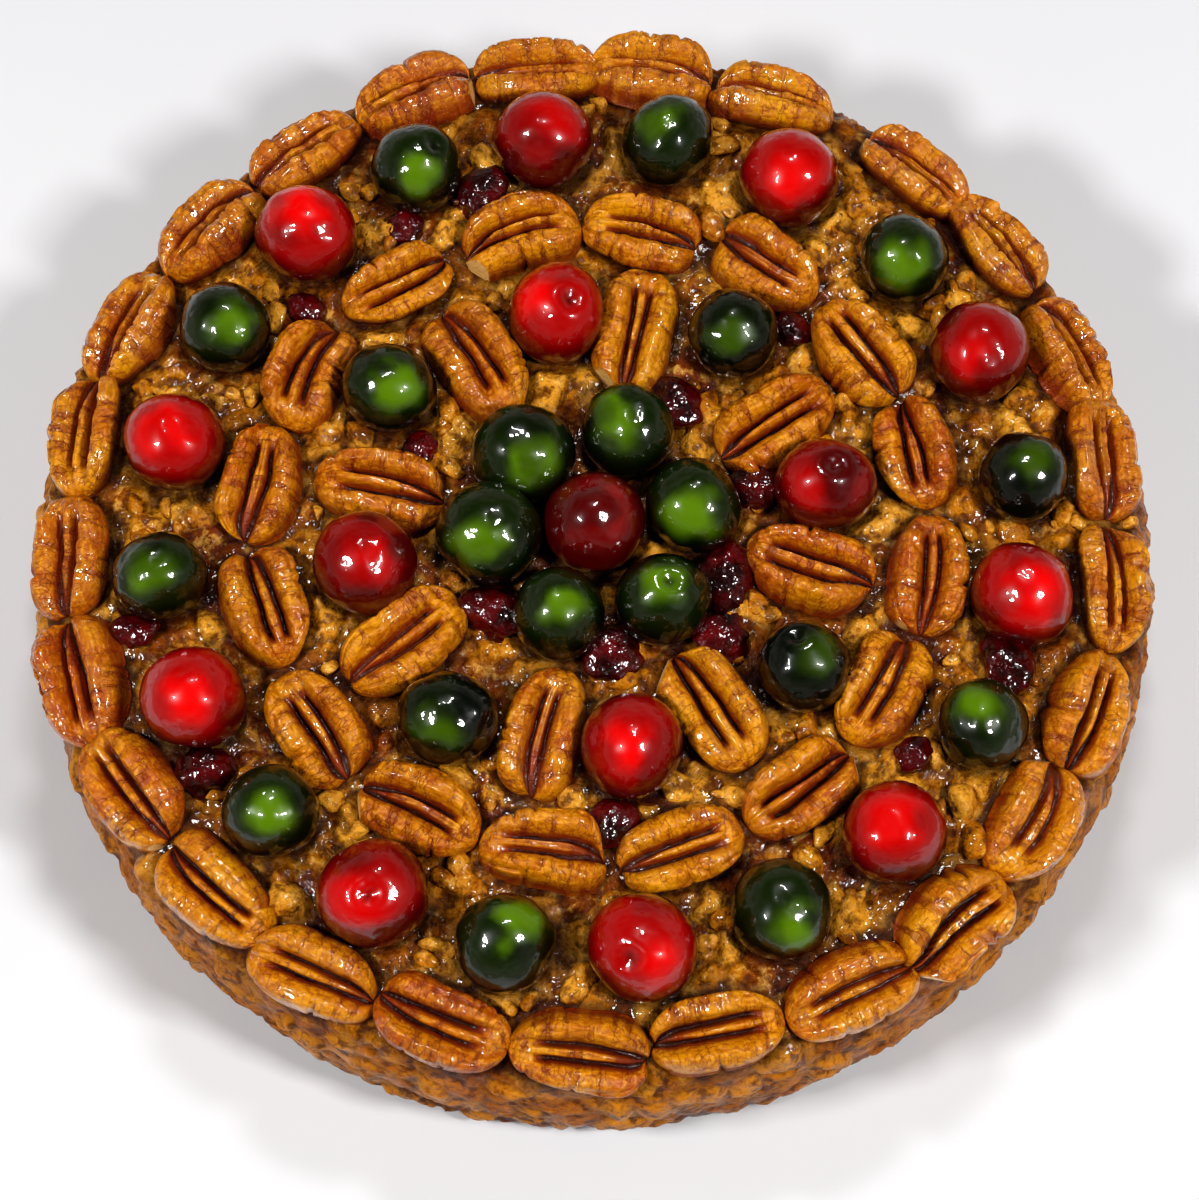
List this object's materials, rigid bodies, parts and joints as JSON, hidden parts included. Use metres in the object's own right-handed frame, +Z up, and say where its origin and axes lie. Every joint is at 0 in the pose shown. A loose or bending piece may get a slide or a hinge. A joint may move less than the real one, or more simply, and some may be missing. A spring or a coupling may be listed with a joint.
{
  "type": "fruit cake",
  "caption": "Round whole fruit cake with a browned batter side, its top covered by rings of pecan halves and glazed red and green candied cherries.",
  "frame": {"origin": "centre of the cake's flat base", "axes": "+Z up through the top, -Y towards the front, +X to the right seen from the front"},
  "size_m": [0.2297, 0.2287, 0.0576],
  "materials": {
    "batter": "baked fruit cake batter, lumpy and glazed",
    "pecan": "roasted pecan with a thin glaze",
    "cherry_red": "candied, translucent and very glossy",
    "cherry_green": "candied, translucent and very glossy",
    "dark_fruit": "sunk candied fruit, nearly black and glossy"
  },
  "bodies": {
    "root": {"cake": "batter", "pecan_rim": "pecan", "pecan_middle_01": "pecan", "pecan_middle_02": "pecan", "pecan_middle_03": "pecan", "pecan_middle_04": "pecan", "pecan_middle_05": "pecan", "pecan_middle_06": "pecan", "pecan_middle_07": "pecan", "pecan_middle_08": "pecan", "pecan_middle_09": "pecan", "pecan_middle_10": "pecan", "pecan_middle_11": "pecan", "pecan_middle_12": "pecan", "pecan_middle_13": "pecan", "pecan_middle_14": "pecan", "pecan_middle_15": "pecan", "pecan_middle_16": "pecan", "pecan_inner_01": "pecan", "pecan_inner_02": "pecan", "pecan_inner_03": "pecan", "pecan_inner_04": "pecan", "pecan_inner_05": "pecan", "pecan_inner_06": "pecan", "pecan_inner_07": "pecan", "pecan_inner_08": "pecan", "cherry_red_01": "cherry_red", "cherry_red_02": "cherry_red", "cherry_red_03": "cherry_red", "cherry_red_04": "cherry_red", "cherry_red_05": "cherry_red", "cherry_red_06": "cherry_red", "cherry_red_07": "cherry_red", "cherry_red_08": "cherry_red", "cherry_red_09": "cherry_red", "cherry_red_10": "cherry_red", "cherry_red_11": "cherry_red", "cherry_red_12": "cherry_red", "cherry_red_13": "cherry_red", "cherry_red_14": "cherry_red", "cherry_red_15": "cherry_red", "cherry_green_01": "cherry_green", "cherry_green_02": "cherry_green", "cherry_green_03": "cherry_green", "cherry_green_04": "cherry_green", "cherry_green_05": "cherry_green", "cherry_green_06": "cherry_green", "cherry_green_07": "cherry_green", "cherry_green_08": "cherry_green", "cherry_green_09": "cherry_green", "cherry_green_10": "cherry_green", "cherry_green_11": "cherry_green", "cherry_green_12": "cherry_green", "cherry_green_13": "cherry_green", "cherry_green_14": "cherry_green", "cherry_green_15": "cherry_green", "cherry_green_16": "cherry_green", "cherry_green_17": "cherry_green", "cherry_green_18": "cherry_green", "cherry_pair_01": "cherry_green"}
  },
  "joints": []
}
